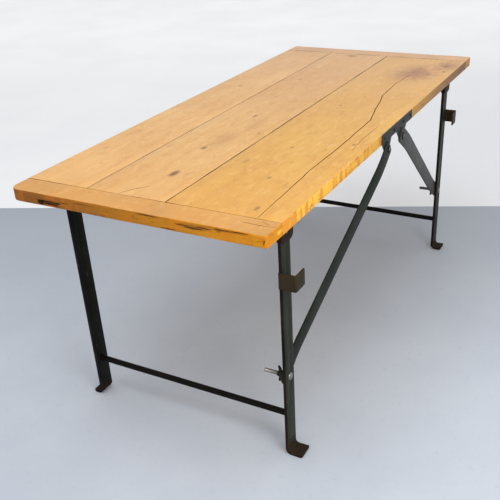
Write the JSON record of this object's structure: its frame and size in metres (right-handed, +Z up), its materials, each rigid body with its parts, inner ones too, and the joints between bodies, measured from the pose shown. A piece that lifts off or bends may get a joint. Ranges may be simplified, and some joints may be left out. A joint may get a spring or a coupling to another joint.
{
  "type": "folding picnic table",
  "caption": "Folding picnic table with a worn softwood top, breadboard ends, flat-bar steel leg frames and side braces held by wing nuts.",
  "frame": {"origin": "on the floor, under the middle of the bounding box", "axes": "+Z up, Y along the table with the end nearer the viewer at -Y, +X towards the side with the braces"},
  "size_m": [0.7704, 1.735, 0.76],
  "materials": {
    "pine_boards": "worn clear oil, honey coloured softwood",
    "pine_ends": "worn clear oil, more golden end boards",
    "painted_steel": "old dark green-black paint with rust at the edges and feet",
    "worn_steel": "worn grey-black paint, bare at the edges",
    "brace_steel": "worn grey-black paint",
    "fasteners": "dull zinc with dark oxide"
  },
  "bodies": {
    "top": {"top_board_left": "pine_boards", "top_board_middle": "pine_boards", "top_board_right": "pine_boards", "breadboard_near": "pine_ends", "breadboard_far": "pine_ends", "hinge_bracket_near_left": "painted_steel", "leg_rivet_near_left": "worn_steel", "bracket_screw_near_left_1": "fasteners", "bracket_screw_near_left_2": "fasteners", "hinge_bracket_near_right": "painted_steel", "leg_rivet_near_right": "worn_steel", "bracket_screw_near_right_1": "fasteners", "bracket_screw_near_right_2": "fasteners", "hinge_bracket_far_left": "painted_steel", "leg_rivet_far_left": "worn_steel", "bracket_screw_far_left_1": "fasteners", "bracket_screw_far_left_2": "fasteners", "hinge_bracket_far_right": "painted_steel", "leg_rivet_far_right": "worn_steel", "bracket_screw_far_right_1": "fasteners", "bracket_screw_far_right_2": "fasteners", "edge_plate": "worn_steel", "edge_plate_screw_1": "fasteners", "edge_plate_screw_2": "fasteners", "edge_plate_screw_3": "fasteners", "edge_plate_screw_4": "fasteners"},
    "near_legs": {"leg_near_left": "painted_steel", "leg_near_right": "painted_steel", "crossbar_near": "painted_steel", "brace_hook_near": "painted_steel", "brace_bolt_near": "fasteners"},
    "near_brace_pivot": {"brace_rivet_near": "worn_steel"},
    "near_brace": {"brace_near": "brace_steel"},
    "near_washer": {"brace_washer_near": "fasteners"},
    "near_wing_nut": {"wing_nut_near": "fasteners"},
    "far_legs": {"leg_far_left": "painted_steel", "leg_far_right": "painted_steel", "crossbar_far": "painted_steel", "brace_hook_far": "painted_steel", "brace_bolt_far": "fasteners"},
    "far_brace_pivot": {"brace_rivet_far": "worn_steel"},
    "far_brace": {"brace_far": "brace_steel"},
    "far_washer": {"brace_washer_far": "fasteners"},
    "far_wing_nut": {"wing_nut_far": "fasteners"}
  },
  "joints": [
    {"name": "near_leg_fold", "type": "hinge", "parent": "top", "child": "near_legs", "pos_m": [-0.0062, -0.696, 0.69], "axis": [1, 0, 0], "range_deg": [0, 90]},
    {"name": "near_brace_swing", "type": "hinge", "parent": "top", "child": "near_brace_pivot", "pos_m": [0.3789, -0.104, 0.706], "axis": [-1, 0, 0], "range_deg": [0, 35.52]},
    {"name": "near_brace_flex", "type": "hinge", "parent": "near_brace_pivot", "child": "near_brace", "pos_m": [0.3789, -0.104, 0.706], "axis": [0, -0.6034, 0.7974], "range_deg": [0, 1.78], "deforming": ["brace_near"]},
    {"name": "near_washer_slide", "type": "slide", "parent": "near_legs", "child": "near_washer", "axis": [-1, 0, 0], "range_m": [0, 0.00525]},
    {"name": "near_wing_nut_turn", "type": "hinge", "parent": "near_washer", "child": "near_wing_nut", "pos_m": [0.3, -0.696, 0.258], "axis": [-1, 0, 0], "range_deg": [0, 1080]},
    {"name": "far_leg_fold", "type": "hinge", "parent": "top", "child": "far_legs", "pos_m": [-0.0062, 0.696, 0.69], "axis": [-1, 0, 0], "range_deg": [0, 90]},
    {"name": "far_brace_swing", "type": "hinge", "parent": "top", "child": "far_brace_pivot", "pos_m": [0.3789, 0.026, 0.706], "axis": [1, 0, 0], "range_deg": [0, 32.47]},
    {"name": "far_brace_flex", "type": "hinge", "parent": "far_brace_pivot", "child": "far_brace", "pos_m": [0.3789, 0.026, 0.706], "axis": [0, -0.5558, -0.8313], "range_deg": [0, 1.72], "deforming": ["brace_far"]},
    {"name": "far_washer_slide", "type": "slide", "parent": "far_legs", "child": "far_washer", "axis": [-1, 0, 0], "range_m": [0, 0.00525]},
    {"name": "far_wing_nut_turn", "type": "hinge", "parent": "far_washer", "child": "far_wing_nut", "pos_m": [0.3, 0.696, 0.258], "axis": [-1, 0, 0], "range_deg": [0, 1080]}
  ],
  "couplings": [
    {"joint": "near_brace_swing", "follows": "near_leg_fold", "ratio": 0.3946},
    {"joint": "near_brace_flex", "follows": "near_leg_fold", "ratio": 0.01977},
    {"joint": "near_washer_slide", "follows": "near_wing_nut_turn", "m_per_rad": 0.0002785},
    {"joint": "far_brace_swing", "follows": "far_leg_fold", "ratio": 0.3607},
    {"joint": "far_brace_flex", "follows": "far_leg_fold", "ratio": 0.01911},
    {"joint": "far_washer_slide", "follows": "far_wing_nut_turn", "m_per_rad": 0.0002785}
  ]
}
